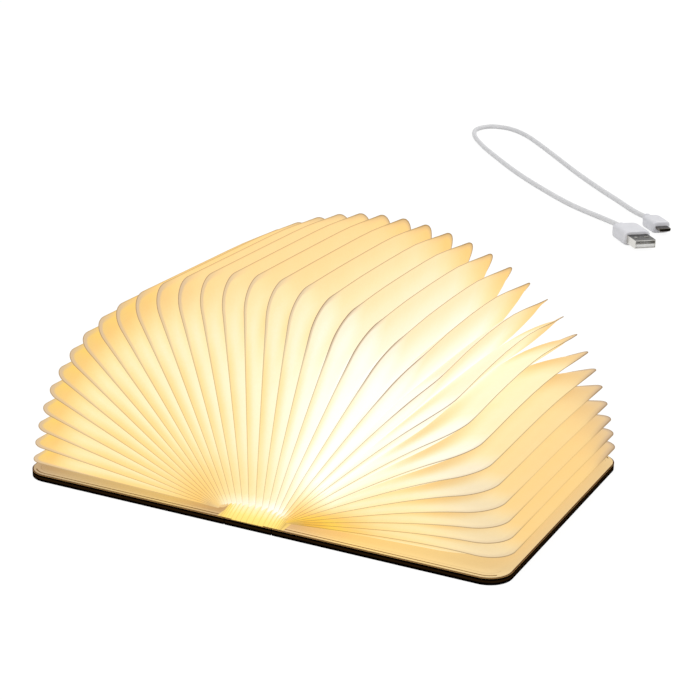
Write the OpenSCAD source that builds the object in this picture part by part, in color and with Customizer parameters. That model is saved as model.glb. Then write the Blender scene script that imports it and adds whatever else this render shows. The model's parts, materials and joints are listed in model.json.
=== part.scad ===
// Folding book lamp: two hard covers hinged to a narrow spine, and a fan of
// paper pockets that glow from a strip of LEDs in the spine.
// The lamp lies open and flat on its covers, as on a table.
// +Z is up, X runs across the covers and Y along the spine.
// The origin is under the middle of the spine, on the resting plane.

/* [Covers] */
// Width over both covers when they lie open
open_w = 194; // [180:1:230]
// Length of covers and spine, along the spine
cover_len = 122; // [116:1:180]
// Thickness of the cover and spine boards
board_t = 2.6; // [2.5:0.1:5]
// Radius of the covers' outer corners
cover_corner_r = 9; // [3:0.5:20]
// Width of the spine board
spine_w = 18.8; // [18.4:0.1:24]
// Gap between the spine board and each cover board
hinge_gap = 0.4; // [0.3:0.05:1]
// Thickness of the hinge cloth and of the cover liners
liner_t = 0.25; // [0.15:0.05:0.5]
// Width of each hinge cloth glued to the cover board
cloth_cover_w = 4; // [3:0.5:8]
// How far the liners stop short of the board edges
liner_inset = 0.5; // [0.3:0.1:4]

/* [Pages] */
// Number of paper pockets in the fan
page_count = 33; // [25:1:33]
// Thickness of one pocket pressed flat, both sheets together
page_t = 0.24; // [0.12:0.02:0.3]
// How far the pockets stop short of the covers' outer edges
page_edge_inset = 0.5; // [0.3:0.1:6]
// How far the pockets stop short of the covers' ends
page_end_inset = 2.2; // [1:0.1:10]
// Radius of the pockets' outer corners
page_corner_r = 11; // [2:0.5:20]
// Distance from a pocket's fold line to its inner edge
page_foot_r = 4.4; // [4.3:0.1:6]
// Height of the fold lines over the hinge axes
fold_lift = 0.35; // [0.3:0.05:1]
// Room left beside the closed stack of pockets, each side
stack_clear = 0.5; // [0.3:0.05:1]
// How far the middle of the fan leans to the right, in degrees
fan_lean = 4.2; // [0:0.1:6]
// How far the side pockets sag toward the covers, in degrees
fan_sag = 5.2; // [0:0.1:7]
// Second wave in the spacing of the pockets, in degrees
fan_ripple = 1.5; // [0:0.1:2]
// How far the lowest pockets on the left sink toward their cover, in degrees
fan_tuck = 2.3; // [0:0.1:2.5]

/* [Light core] */
// Width of the core tray and of the diffuser
core_w = 14; // [13:0.1:14.4]
// Distance from the near end of the spine to the core
core_setback = 11; // [6:0.5:30]
// Depth of the tray's seat in the spine board
seat_depth = 1.6; // [0.8:0.1:2]
// Clearance around the tray in its seat
seat_clear = 0.2; // [0.1:0.05:0.3]
// Wall and floor thickness of the tray
tray_wall = 0.8; // [0.6:0.1:1]
// Height of the bay under the LED board
bay_h = 2.6; // [2.5:0.05:2.8]
// Thickness of the tray's upper rim beside the LED board
rim_t = 0.4; // [0.3:0.05:0.5]
// Clearance between the LED board and the rim
board_clear = 0.1; // [0.05:0.05:0.2]
// Thickness of the LED board
led_board_t = 0.6; // [0.4:0.05:0.8]
// Number of LEDs in the row
led_count = 14; // [6:1:24]
// Length of one LED, along the spine
led_len = 3; // [2:0.1:3.5]
// Width of one LED
led_w = 1.4; // [1:0.1:3]
// Height of one LED
led_h = 0.6; // [0.4:0.05:0.65]
// Rise of the arched diffuser over the tray's rim
diffuser_rise = 1.2; // [1.15:0.05:1.3]
// Wall of the diffuser
diffuser_wall = 0.5; // [0.4:0.05:0.6]
// Thickness of the cap at the far end
cap_t = 1.2; // [0.8:0.1:2]
// Length of the battery
battery_len = 45; // [25:1:50]
// Width of the battery
battery_w = 11.5; // [8:0.1:12]
// Thickness of the battery
battery_t = 2.3; // [1.5:0.1:2.4]
// Distance from the tray's ends to its screws
screw_inset = 5; // [3.5:0.5:6]
// Diameter of the tray screws
screw_d = 1.4; // [1.2:0.1:1.6]
// Diameter of the screw heads
screw_head_d = 2.8; // [2.4:0.1:3.2]
// Height of the screw heads
screw_head_h = 0.6; // [0.5:0.05:0.8]
// Length of the screws' shanks
screw_len = 3; // [2.5:0.1:3.4]
// Clearance around screws and in their holes, on the radius
screw_clear = 0.1; // [0.05:0.05:0.2]
// Wall of the bosses that take the screws
boss_wall = 0.9; // [0.6:0.1:1.2]
// Length of the reed switch that senses a closed cover
reed_len = 9; // [7:0.5:12]
// Diameter of the reed switch
reed_d = 1.8; // [1.4:0.1:2]

/* [Page lining] */
// Half width of the pleated arch over the core
lining_half_w = 9; // [8.7:0.05:9.1]
// Height of the arch over the hinge axes
lining_h = 4.05; // [3.95:0.05:4.1]
// Height of each pleat
pleat_h = 0.5; // [0.3:0.05:0.6]
// Number of pleats round the arch
pleat_count = 16; // [8:1:24]
// Thickness of the lining paper
lining_t = 0.15; // [0.1:0.01:0.2]
// How far the lining stops short of the covers' ends
lining_inset = 1.5; // [1:0.5:20]

/* [Charging socket] */
// Width of the micro-USB socket's shell
socket_w = 7.5; // [7.4:0.05:8]
// Height of the socket's shell
socket_h = 2.45; // [2.4:0.05:2.5]
// Depth of the socket's shell
socket_len = 5; // [4.5:0.1:6]
// Sheet thickness of the socket's shell
socket_wall = 0.25; // [0.2:0.05:0.3]
// Clearance between the socket's shell and the far cap
socket_clear = 0.1; // [0.05:0.05:0.15]

/* [Magnets] */
// Diameter of the magnets at the covers' outer corners
magnet_d = 6; // [4:0.5:10]
// Thickness of those magnets
magnet_t = 1.5; // [1:0.1:1.8]
// Distance from a cover's outer edge to the magnets' middle
magnet_edge = 8; // [6:0.5:20]
// Distance from a cover's end to the magnets' middle
magnet_end = 16; // [10:0.5:30]
// Diameter of the magnet that works the reed switch
switch_magnet_d = 4; // [2:0.5:5]
// Thickness of that magnet
switch_magnet_t = 1.2; // [0.8:0.1:1.6]
// Clearance around the magnets in their seats
magnet_clear = 0.05; // [0.05:0.05:0.2]

/* [Charging lead] */
// Diameter of the lead
cord_d = 3; // [2.5:0.1:3.2]
// Diameter of the collars where the lead leaves its plugs
collar_d = 5; // [4.4:0.1:5.4]
// Length of those collars
collar_len = 6; // [4:0.5:10]
// Width of the USB-A plug's grip
grip_a_w = 15.5; // [14:0.1:17]
// Length of that grip
grip_a_len = 19; // [15:0.5:25]
// Thickness of that grip
grip_a_t = 8; // [7:0.1:8]
// Width of the USB-A shell
shell_a_w = 12; // [11.9:0.05:12.1]
// Height of the USB-A shell
shell_a_h = 4.5; // [4.4:0.05:4.6]
// Bare length of the USB-A shell
shell_a_len = 12; // [11.5:0.1:12.5]
// Sheet thickness of the USB-A shell
shell_a_wall = 0.3; // [0.25:0.05:0.4]
// Thickness of the tongue inside the USB-A shell
tongue_t = 1.84; // [1.7:0.02:1.9]
// Width of the micro-USB plug's grip
grip_m_w = 10.6; // [9:0.1:12]
// Length of that grip
grip_m_len = 16; // [12:0.5:20]
// Thickness of that grip
grip_m_t = 6.6; // [6:0.1:7]
// Width of the micro-USB plug's shell
shell_m_w = 6.85; // [6.8:0.05:6.9]
// Height of that shell
shell_m_h = 1.8; // [1.75:0.05:1.85]
// Bare length of that shell
shell_m_len = 5.5; // [5:0.1:6]

/* [Hidden] */
$fn = 64;
EPS = 0.01;

function page_name(k) = str("page_", k < 10 ? "0" : "", k);

// covers and hinges
hinge_x = spine_w / 2 + hinge_gap / 2;
hinge_z = board_t + liner_t;
cover_x0 = hinge_x + hinge_gap / 2;
cover_w = open_w / 2 - cover_x0;
cloth_x1 = cover_x0 + cloth_cover_w;
cloth_x0 = core_w / 2 + seat_clear;
end_y = cover_len / 2;

// pages: fold lines lie side by side over the spine, a closed pitch apart
fold_z = hinge_z + fold_lift;
fold_pitch = (2 * hinge_x - 2 * stack_clear - page_t) / (page_count - 1);
stack_half = fold_pitch * (page_count - 1) / 2;
page_r = open_w / 2 - page_edge_inset - stack_half;
page_half = end_y - page_end_inset;
function fold_x(k) = (k - (page_count + 1) / 2) * fold_pitch;
tuck_end = 43;
function tuck(a) = a < tuck_end ? fan_tuck * pow(cos(90 * a / tuck_end), 2) : 0;
function page_angle(k) = let (a = 180 * k / (page_count + 1))
  a + fan_lean * sin(a) - fan_sag * sin(2 * a) - fan_ripple * sin(4 * a) - tuck(a);

// light core, from the bottom up
seat_z = board_t - seat_depth;
bay_z = seat_z + tray_wall;
ledge_z = bay_z + bay_h;
rim_z = ledge_z + led_board_t + board_clear;
core_y0 = -end_y + core_setback;
core_y1 = end_y - cap_t;
core_len = core_y1 - core_y0;
led_board_w = core_w - 2 * rim_t - 2 * board_clear;
led_board_y0 = core_y0 + tray_wall + board_clear;
led_board_y1 = core_y1 - board_clear;
led_pitch = (led_board_y1 - led_board_y0) / led_count;
diffuser_r = ((core_w / 2) * (core_w / 2) + diffuser_rise * diffuser_rise)
  / (2 * diffuser_rise);
diffuser_z = rim_z + diffuser_rise - diffuser_r;
screw_ys = [core_y0 + screw_inset, core_y1 - socket_len - screw_inset];
boss_r = screw_d / 2 + screw_clear + boss_wall;
battery_y0 = screw_ys[0] + boss_r + 1;
reed_y = battery_y0 + battery_len + 8;
socket_z = ledge_z - socket_h / 2;

// charging lead: plug tips, direction and the lead's route on the table
plug_dir = -50;
tip_a = [14, 352];
tip_m = [14, 388];
grip_r = 2.2;
function along(d) = [d * cos(plug_dir), d * sin(plug_dir)];
exit_a = tip_a - along(shell_a_len + grip_a_len + collar_len);
exit_m = tip_m - along(shell_m_len + grip_m_len + collar_len);
lie_z = cord_d / 2 + 0.05;
function at_z(p, z) = [p[0], p[1], z];
// behind each plug the lead comes down to the table over these distances
drop_start = 10;
drop_end = 22;
function drop(exit, grip_t) = [at_z(exit, grip_t / 2),
  at_z(exit - along(drop_start), grip_t / 2 - 0.7),
  at_z(exit - along(drop_end), lie_z + 0.5)];
drop_a = drop(exit_a, grip_a_t);
route = concat(
  drop(exit_m, grip_m_t),
  [for (p = [[-34, 446], [-54, 469], [-77, 497], [-101, 528], [-125, 559],
    [-146, 584], [-163, 597], [-177, 597], [-182, 583], [-175, 563],
    [-158, 537], [-136, 509], [-111, 479], [-84, 450], [-54, 421]])
    at_z(p, lie_z)],
  [drop_a[2], drop_a[1], drop_a[0]]);
cord_sides = 8;
cord_steps = 4;

// a flat blank from x = x0 to x1 with its two far corners rounded
module blank(x0, x1, half, r) {
  translate([x0, -half]) square([x1 - x0 - r, 2 * half]);
  translate([x1 - r - EPS, -half + r]) square([r + EPS, 2 * (half - r)]);
  for (s = [-1, 1]) translate([x1 - r, s * (half - r)]) circle(r);
}

// a slab between two heights, cut from the same blank on either side
module side_slab(side, x0, x1, half, r, z0, t) {
  mirror([side < 0 ? 1 : 0, 0, 0])
    translate([0, 0, z0]) linear_extrude(t) blank(x0, x1, half, r);
}

// a bar that runs along the spine with a given section in X and Z
module along_spine(y0, y1) {
  translate([0, y1, 0]) rotate([90, 0, 0]) linear_extrude(y1 - y0) children();
}

module magnet_places(side) {
  for (s = [-1, 1])
    translate([side * (open_w / 2 - magnet_edge), s * (end_y - magnet_end), 0])
      children();
}

module cover_board(side) {
  color([0.25, 0.15, 0.09]) difference() {
    side_slab(side, cover_x0, open_w / 2, end_y, cover_corner_r, 0, board_t);
    magnet_places(side)
      translate([0, 0, board_t - magnet_t - magnet_clear])
        cylinder(d = magnet_d + 2 * magnet_clear, h = magnet_t + 1);
    if (side < 0) switch_magnet_place()
      translate([0, 0, board_t - switch_magnet_t - magnet_clear])
        cylinder(d = switch_magnet_d + 2 * magnet_clear, h = switch_magnet_t + 1);
  }
}

module cover_liner(side) {
  color([0.93, 0.86, 0.72])
    side_slab(side, cloth_x1, open_w / 2 - liner_inset, end_y - liner_inset,
      cover_corner_r - liner_inset, board_t, liner_t);
}

module cover_magnets(side) {
  color("silver") magnet_places(side)
    translate([0, 0, board_t - magnet_t]) cylinder(d = magnet_d, h = magnet_t);
}

module switch_magnet_place() {
  translate([-(cover_x0 + switch_magnet_d / 2 + 1.5), reed_y, 0]) children();
}

module hinge_cloth(side) {
  color([0.85, 0.76, 0.6]) mirror([side < 0 ? 1 : 0, 0, 0])
    translate([cloth_x0, -end_y + liner_inset, board_t])
      cube([cloth_x1 - cloth_x0, 2 * (end_y - liner_inset), liner_t]);
}

module left_board() { cover_board(-1); }
module right_board() { cover_board(1); }
module left_liner() { cover_liner(-1); }
module right_liner() { cover_liner(1); }
module left_magnets() { cover_magnets(-1); }
module right_magnets() { cover_magnets(1); }
module left_hinge_cloth() { hinge_cloth(-1); }
module right_hinge_cloth() { hinge_cloth(1); }

module switch_magnet() {
  color("silver") switch_magnet_place()
    translate([0, 0, board_t - switch_magnet_t])
      cylinder(d = switch_magnet_d, h = switch_magnet_t);
}

// spine board, with the tray's seat open to the far end
module spine_board() {
  seat_w = core_w + 2 * seat_clear;
  color([0.25, 0.15, 0.09]) difference() {
    translate([-spine_w / 2, -end_y, 0]) cube([spine_w, cover_len, board_t]);
    translate([-seat_w / 2, core_y0 - seat_clear, seat_z])
      cube([seat_w, cover_len, seat_depth + 1]);
    for (y = screw_ys) translate([0, y, 0]) {
      translate([0, 0, -1]) cylinder(d = screw_d + 2 * screw_clear, h = board_t);
      translate([0, 0, -1])
        cylinder(d = screw_head_d + 2 * screw_clear, h = screw_head_h + 1);
    }
  }
}

// tray with a ledge for the LED board and two screw bosses
module core_tray() {
  color("white") difference() {
    union() {
      difference() {
        translate([-core_w / 2, core_y0, seat_z])
          cube([core_w, core_len, rim_z - seat_z]);
        translate([-core_w / 2 + tray_wall, core_y0 + tray_wall, bay_z])
          cube([core_w - 2 * tray_wall, core_len, rim_z]);
        translate([-core_w / 2 + rim_t, core_y0 + tray_wall, ledge_z])
          cube([core_w - 2 * rim_t, core_len, rim_z]);
      }
      for (y = screw_ys) translate([0, y, seat_z])
        cylinder(r = boss_r, h = ledge_z - seat_z - board_clear);
    }
    for (y = screw_ys) translate([0, y, seat_z - 1])
      cylinder(d = screw_d + 2 * screw_clear, h = rim_z);
  }
}

module core_screws() {
  color("silver") for (y = screw_ys) translate([0, y, 0]) {
    cylinder(d = screw_head_d, h = screw_head_h);
    cylinder(d = screw_d, h = screw_head_h + screw_len);
  }
}

module battery() {
  color("lightslategray")
    translate([-battery_w / 2, battery_y0, bay_z])
      cube([battery_w, battery_len, battery_t]);
}

module led_board() {
  color("ivory")
    translate([-led_board_w / 2, led_board_y0, ledge_z])
      cube([led_board_w, led_board_y1 - led_board_y0, led_board_t]);
}

module leds() {
  color([1, 0.93, 0.7])
    for (i = [0:led_count - 1])
      translate([-led_w / 2, led_board_y0 + (i + 0.5) * led_pitch - led_len / 2,
        ledge_z + led_board_t])
        cube([led_w, led_len, led_h]);
}

// glass reed switch lying under the LED board, with its two leads
module reed_switch() {
  lead_t = 0.5;
  color("lightcyan") translate([0, reed_y, ledge_z - reed_d / 2]) {
    rotate([90, 0, 0]) cylinder(d = reed_d, h = reed_len, center = true);
    for (s = [-1, 1]) {
      translate([-lead_t / 2, s * (reed_len / 2 + 1) - 1.2, -lead_t / 2])
        cube([lead_t, 2.4, lead_t]);
      translate([-lead_t / 2, s * (reed_len / 2 + 2) - lead_t / 2, -lead_t / 2])
        cube([lead_t, lead_t, reed_d / 2 + lead_t / 2]);
    }
  }
}

// micro-USB outline: a box with its two lower corners cut
module micro_outline(w, h, cut) {
  polygon([[-w / 2, h / 2], [w / 2, h / 2], [w / 2, -h / 2 + cut],
    [w / 2 - cut, -h / 2], [-w / 2 + cut, -h / 2], [-w / 2, -h / 2 + cut]]);
}

module usb_socket() {
  back_t = 0.8;
  tongue_w = 3.7;
  cut = 0.8;
  iw = socket_w - 2 * socket_wall;
  ih = socket_h - 2 * socket_wall;
  color("silver") translate([0, 0, socket_z]) {
    difference() {
      along_spine(end_y - socket_len, end_y) micro_outline(socket_w, socket_h, cut);
      along_spine(end_y - socket_len + back_t, end_y + 1)
        micro_outline(iw, ih, cut - socket_wall / 2);
    }
    translate([-tongue_w / 2, end_y - socket_len + back_t - EPS, 0.05])
      cube([tongue_w, socket_len - back_t - 0.9, 0.6]);
  }
}

// arched outline of the diffuser and of the far cap
module arch_outline(r) {
  intersection() {
    translate([0, diffuser_z]) circle(r, $fn = 180);
    translate([-core_w / 2, rim_z]) square([core_w, diffuser_rise + 1]);
  }
}

module diffuser() {
  color([1, 0.97, 0.88]) {
    along_spine(core_y0, core_y1) difference() {
      arch_outline(diffuser_r);
      translate([0, diffuser_z]) circle(diffuser_r - diffuser_wall, $fn = 180);
    }
    along_spine(core_y0, core_y0 + diffuser_wall) arch_outline(diffuser_r);
  }
}

// end cap with the opening for the charging plug
module far_cap() {
  color("white") difference() {
    union() {
      along_spine(core_y1, end_y) translate([-core_w / 2, seat_z])
        square([core_w, rim_z - seat_z + EPS]);
      along_spine(core_y1, end_y) arch_outline(diffuser_r);
    }
    translate([0, 0, socket_z]) along_spine(core_y1 - 1, end_y + 1)
      micro_outline(socket_w + 2 * socket_clear, socket_h + 2 * socket_clear, 0.75);
  }
}

// pleated arch over the core that the pockets' inner edges stand round
function arch_point(i, off) = let (
  a = 180 * i / (2 * pleat_count),
  h = off + (i % 2 == 0 ? -pleat_h / 2 : pleat_h / 2))
  [-(lining_half_w + h) * cos(a), hinge_z + (lining_h + h) * sin(a)];

module page_lining() {
  outer = [for (i = [0:2 * pleat_count]) arch_point(i, lining_t / 2)];
  inner = [for (i = [2 * pleat_count:-1:0]) arch_point(i, -lining_t / 2)];
  color([1, 0.93, 0.72])
    along_spine(-end_y + lining_inset, end_y - lining_inset)
      polygon(concat(outer, inner));
}

// one pocket, flat, standing round its fold line at its place in the fan
module page(k) {
  color([0.98, 0.8, 0.5])
    translate([fold_x(k), 0, fold_z]) rotate([0, 180 + page_angle(k), 0])
      translate([0, 0, -page_t / 2]) linear_extrude(page_t)
        blank(page_foot_r, page_r, page_half, page_corner_r);
}

// a box with rounded edges along X, from x0 to x1
module grip_bar(x0, x1, w, t, r) {
  translate([x0, 0, 0]) rotate([90, 0, 90]) linear_extrude(x1 - x0) {
    square([w - 2 * r, t], center = true);
    square([w, t - 2 * r], center = true);
    for (sx = [-1, 1], sy = [-1, 1])
      translate([sx * (w / 2 - r), sy * (t / 2 - r)]) circle(r);
  }
}

module at_plug(tip, t) {
  translate([tip[0], tip[1], t / 2]) rotate([0, 0, plug_dir]) children();
}

// a grip with the ribbed collar where the lead enters
module plug_grip(bare, len, w, t) {
  grip_bar(-bare - len, -bare, w, t, grip_r);
  neck = 1.6;
  translate([-bare - len - collar_len, 0, 0]) rotate([0, 90, 0]) {
    cylinder(d = collar_d, h = collar_len - neck);
    cylinder(d = collar_d - 1, h = collar_len + EPS);
  }
}

module usb_a_grip() {
  color("whitesmoke") at_plug(tip_a, grip_a_t)
    plug_grip(shell_a_len, grip_a_len, grip_a_w, grip_a_t);
}

module usb_a_shell() {
  hole = 2.2;
  w = shell_a_wall;
  color("silver") at_plug(tip_a, grip_a_t) difference() {
    translate([-shell_a_len, -shell_a_w / 2, -shell_a_h / 2])
      cube([shell_a_len, shell_a_w, shell_a_h]);
    translate([-shell_a_len - 1, -shell_a_w / 2 + w, -shell_a_h / 2 + w])
      cube([shell_a_len + 2, shell_a_w - 2 * w, shell_a_h - 2 * w]);
    for (s = [-1, 1])
      translate([-shell_a_len / 2 - hole / 2, s * 2.9 - hole / 2, 0])
        cube([hole, hole, shell_a_h]);
  }
}

module usb_a_tongue() {
  inset = 0.6;
  color("white") at_plug(tip_a, grip_a_t)
    translate([-shell_a_len, -shell_a_w / 2 + shell_a_wall,
      -shell_a_h / 2 + shell_a_wall])
      cube([shell_a_len - inset, shell_a_w - 2 * shell_a_wall, tongue_t]);
}

module micro_usb_grip() {
  color("whitesmoke") at_plug(tip_m, grip_m_t)
    plug_grip(shell_m_len, grip_m_len, grip_m_w, grip_m_t);
}

module micro_usb_shell() {
  w = 0.3;
  color("dimgray") at_plug(tip_m, grip_m_t) rotate([90, 0, 90])
    difference() {
      translate([0, 0, -shell_m_len]) linear_extrude(shell_m_len)
        micro_outline(shell_m_w, shell_m_h, 0.6);
      translate([0, 0, -shell_m_len + 1.5]) linear_extrude(shell_m_len)
        micro_outline(shell_m_w - 2 * w, shell_m_h - 2 * w, 0.45);
    }
}

// the lead: a round tube swept along a smooth curve through the route
function smooth(a, b, c, d, t) = 0.5 * (2 * b + (c - a) * t
  + (2 * a - 5 * b + 4 * c - d) * t * t + (3 * b - a - 3 * c + d) * t * t * t);
route_n = len(route);
function knot(i) = i < 0 ? 2 * route[0] - route[1]
  : i >= route_n ? 2 * route[route_n - 1] - route[route_n - 2] : route[i];
cord_line = concat(
  [for (i = [0:route_n - 2], s = [0:cord_steps - 1])
    smooth(knot(i - 1), knot(i), knot(i + 1), knot(i + 2), s / cord_steps)],
  [route[route_n - 1]]);
cord_n = len(cord_line);
function unit(v) = v / norm(v);
function heading(i) = i == 0 ? [-along(1)[0], -along(1)[1], 0]
  : i == cord_n - 1 ? [along(1)[0], along(1)[1], 0]
  : unit(cord_line[i + 1] - cord_line[i - 1]);
function cord_ring(i) = let (f = heading(i), s = unit(cross(f, [0, 0, 1])),
  u = cross(s, f)) [for (j = [0:cord_sides - 1]) let (a = 360 * j / cord_sides)
    cord_line[i] + (s * cos(a) + u * sin(a)) * cord_d / 2];

module charge_cord() {
  points = [for (i = [0:cord_n - 1]) each cord_ring(i)];
  walls = [for (i = [0:cord_n - 2], j = [0:cord_sides - 1]) let (
    a = i * cord_sides + j,
    b = i * cord_sides + (j + 1) % cord_sides)
    each [[a, a + cord_sides, b], [b, a + cord_sides, b + cord_sides]]];
  near = [for (j = [1:cord_sides - 2]) [0, j, j + 1]];
  last = (cord_n - 1) * cord_sides;
  far = [for (j = [1:cord_sides - 2]) [last, last + j + 1, last + j]];
  color("whitesmoke") polyhedron(points, concat(walls, near, far));
}

spine_board();
left_hinge_cloth();
right_hinge_cloth();
core_tray();
battery();
led_board();
leds();
reed_switch();
usb_socket();
diffuser();
far_cap();
core_screws();
page_lining();
left_board();
left_liner();
left_magnets();
switch_magnet();
right_board();
right_liner();
right_magnets();
for (k = [1:page_count]) {
  page(k);
}
charge_cord();
usb_a_grip();
usb_a_shell();
usb_a_tongue();
micro_usb_grip();
micro_usb_shell();
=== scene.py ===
"""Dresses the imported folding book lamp: glowing paper pockets, charred wooden covers, pleated
paper over the light core and the charging lead, on a pale floor under soft studio light."""
import json
import math

import bpy
import numpy as np
from mathutils import Matrix, Vector


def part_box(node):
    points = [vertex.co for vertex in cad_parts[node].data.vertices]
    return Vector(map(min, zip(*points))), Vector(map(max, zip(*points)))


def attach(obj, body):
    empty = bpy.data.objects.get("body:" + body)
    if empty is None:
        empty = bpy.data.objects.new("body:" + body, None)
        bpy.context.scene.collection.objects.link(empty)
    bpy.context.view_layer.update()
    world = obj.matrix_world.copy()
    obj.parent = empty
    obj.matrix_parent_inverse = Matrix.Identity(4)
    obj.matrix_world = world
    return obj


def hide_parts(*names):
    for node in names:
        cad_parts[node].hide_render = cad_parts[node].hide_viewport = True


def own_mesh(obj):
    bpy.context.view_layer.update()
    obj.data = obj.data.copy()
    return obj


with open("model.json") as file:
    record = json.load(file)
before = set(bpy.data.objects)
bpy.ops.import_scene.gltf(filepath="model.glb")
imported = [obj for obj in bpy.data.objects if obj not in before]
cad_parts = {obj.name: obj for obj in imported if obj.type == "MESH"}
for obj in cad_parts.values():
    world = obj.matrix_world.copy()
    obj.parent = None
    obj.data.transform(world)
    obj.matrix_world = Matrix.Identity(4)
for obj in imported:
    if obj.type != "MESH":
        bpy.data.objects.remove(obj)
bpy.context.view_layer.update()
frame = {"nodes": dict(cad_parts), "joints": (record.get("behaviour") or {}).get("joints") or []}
MM = 0.001
nodes = frame["nodes"]
joints = {j["name"]: j for j in frame["joints"]}

# Camera: fitted to the photographed edges and corners of the covers and the tips of the pockets, with the
# covers' size held.
CAM_YAW = 26.17
CAM_PITCH = 19.4
CAM_ROLL = 1.057
CAM_DISTANCE = 819.67 * MM
CAM_TARGET = Vector((-53.96, 128.36, 0)) * MM
FOCAL_PX = 1799.73
PICTURE_PX = 700
SENSOR_MM = 36

# Sizes that the frame gives.
spine_low, spine_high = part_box("spine_board")
board_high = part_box("right_board")[1]
liner_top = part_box("right_liner")[1].z
PAGES = sum(name.startswith("page_") and name[5:].isdigit() for name in nodes)
AT_EDGE_MM = 0.02


def page_name(k):
    return f"page_{k:02d}"


class Leaf:
    """One pocket of the fan: its fold line, its angle from the left cover and its size, in mm."""

    def __init__(self, k):
        joint = joints[page_name(k) + "_fold"]
        turn = joint["range_deg"][1]
        left = joint["axis"][1] > 0
        self.k = k
        self.side = -1 if left else 1
        self.body = joint["child"]
        self.fold = np.array([joint["pos_m"][0], joint["pos_m"][2]]) / MM
        self.angle = math.radians(90 - turn if left else 90 + turn)
        self.out = np.array([-math.cos(self.angle), math.sin(self.angle)])
        self.normal = np.array([math.sin(self.angle), math.cos(self.angle)])
        co = np.array([v.co for v in nodes[page_name(k)].data.vertices]) / MM
        reach = (co[:, [0, 2]] - self.fold) @ self.out
        self.inner, self.outer = reach.min(), reach.max()
        self.half = co[:, 1].max()
        self.tip = self.fold + self.out * self.outer
        self.degrees = math.degrees(self.angle)
        self.corner = self.half - np.abs(co[reach > self.outer - AT_EDGE_MM, 1]).max()


leaves = [Leaf(k) for k in range(1, PAGES + 1)]

# The pockets' shape, in mm. Near the spine they crowd together at both sides of the core.
BASE_Z = liner_top / MM
FOOT_SPREAD = 13.2
FOOT_CENTRE_X = 0.8
FOOT_CENTRE_PAGE = 16.6
FOOT_PAGES = 5.6
FOOT_Z = BASE_Z + 2.0
ARCH_LOW = BASE_Z + 0.7
ARCH_RISE = 4.3
ARCH_HALF = 15.2
# Steps that move a pocket's foot onto the arch.
FOOT_TRIES = 6
FOOT_LEAST_STEP = 0.15
DROOP = 3.8
DROOP_FROM, DROOP_TO = 120, 158
BEND_POWER = 4
SHEET_HALF_T = 0.1
LINER_CLEAR = 0.12
FILL = 0.94
# The same where the two covers' halves of the fan meet: one pocket leans over as only one cover closes.
MEETING_FILL = 0.68
LIP = 0.6
END_DEPTH_IN, END_DEPTH_OUT = 7, 14
OUTER_DEPTH = 26
# Against the pocket's angle in degrees: how far the rims rise in the middle and hang at the ends, in mm,
# and the share of the corner radius left at either end.
RISE = ((0, 90, 117, 135, 146, 165, 180), (0.2, 0.3, 0.9, 1.8, 1.6, 0.5, 0.0))
HANG = ((0, 92, 106, 132, 146, 160), (0.0, 0.3, 1.7, 1.9, 1.3, 0.0))
NEAR_HANG = 0.55
NEAR_CORNER = ((0, 40, 75), (0.55, 0.68, 1.0))
FAR_CORNER = ((95, 129, 137, 150, 180), (1.0, 1.0, 0.7, 0.34, 0.5))
FAR_REACH = 0.9
FAR_SINK = 1.7


def smooth(x, low, high):
    """0 below low, 1 above high, and eased between them."""
    t = np.clip((x - low) / (high - low), 0, 1)
    return t * t * (3 - 2 * t)


def foot_x(k):
    """Where pocket k meets the arch, in mm."""
    return FOOT_CENTRE_X + FOOT_SPREAD * math.tanh((k - FOOT_CENTRE_PAGE) / FOOT_PAGES)


def arch(x):
    """Height of the pleated arch that the pockets stand on."""
    return ARCH_LOW + ARCH_RISE * np.sqrt(np.maximum(0, 1 - (x / ARCH_HALF) ** 2))


def middle_line(leaf):
    """A function of s, from 0 at the inner edge to 1 at the rim, and of y, that gives the pocket's middle
    surface in X and Z."""
    foot = np.array([foot_x(leaf.k), FOOT_Z])
    bow = DROOP * smooth(leaf.degrees, DROOP_FROM, DROOP_TO)
    up = leaf.normal * (-1 if leaf.degrees > 90 else 1)
    aim = leaf.tip + up * bow
    way = (aim - foot) / np.linalg.norm(aim - foot)
    start = foot
    for _ in range(FOOT_TRIES):
        start = start + way * (arch(start[0]) - start[1]) * min(1.0, max(way[1], FOOT_LEAST_STEP))
    run = aim - start
    rise = np.interp(leaf.degrees, *RISE)
    hang = np.interp(leaf.degrees, *HANG)
    sink = FAR_SINK * smooth(leaf.degrees, 40, 70) * (1 - smooth(leaf.degrees, 105, 130))

    def line(s, y):
        s = np.asarray(s, float)[..., None]
        y = np.asarray(y, float)[..., None]
        middle = 0.5 + 0.5 * np.cos(np.pi * (y - 10) / 60)
        ends = np.where(y > 0, 1.0, NEAR_HANG) * smooth(np.abs(y), 20, 58)
        wave = (rise * middle - hang * ends) * s ** 3
        short = sink * smooth(y, 15, 58) * s ** 2
        return start + s * run + s ** BEND_POWER * (leaf.tip - aim) - wave * leaf.normal - short * leaf.out

    return line


lines = [middle_line(leaf) for leaf in leaves]


def cover_line(side):
    """The face of a cover's liner, as a function of s and y like the pockets' middle surfaces."""
    line = lines[0] if side < 0 else lines[-1]

    def face(s, y):
        p = line(s, y).copy()
        p[..., 1] = BASE_Z + LINER_CLEAR
        return p

    return face


def neighbour(k, step):
    """The surface next to pocket k: another pocket's or a cover's."""
    j = k - 1 + step
    if j < 0:
        return cover_line(-1)
    if j >= PAGES:
        return cover_line(1)
    return lines[j]


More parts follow.
